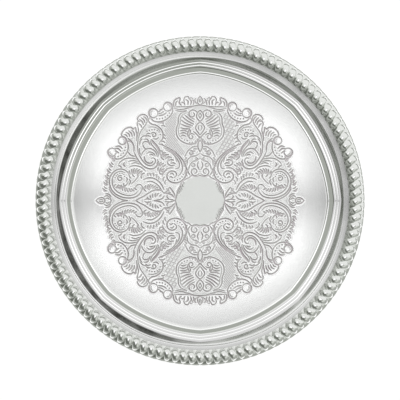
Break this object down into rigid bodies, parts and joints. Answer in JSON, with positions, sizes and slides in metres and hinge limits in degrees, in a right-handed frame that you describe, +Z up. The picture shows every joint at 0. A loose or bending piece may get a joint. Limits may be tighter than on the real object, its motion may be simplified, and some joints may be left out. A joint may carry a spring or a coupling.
{
  "type": "round salver",
  "caption": "Round silver-plated salver with a bowed octagonal well, an engraved centre and an applied border of slanted gadroons.",
  "frame": {"origin": "on the salver's axis, at the underside of the well, on the surface that it stands on", "axes": "+Z up out of the well, +X through one corner of the eight-sided well, +Y through the corner a quarter turn on"},
  "size_m": [0.305, 0.305, 0.017],
  "materials": {
    "plated_sheet": "bright silver plate, polished, with flat-chased ornament",
    "plated_border": "bright silver plate, struck, darker in the hollows",
    "soft_solder": "dull grey tin-lead solder"
  },
  "bodies": {
    "root": {"tray_plate": "plated_sheet", "gadroon_border_1": "plated_border", "gadroon_border_2": "plated_border", "gadroon_border_3": "plated_border", "gadroon_border_4": "plated_border", "border_filling_1": "soft_solder", "border_filling_2": "soft_solder", "border_filling_3": "soft_solder", "border_filling_4": "soft_solder"}
  },
  "joints": []
}
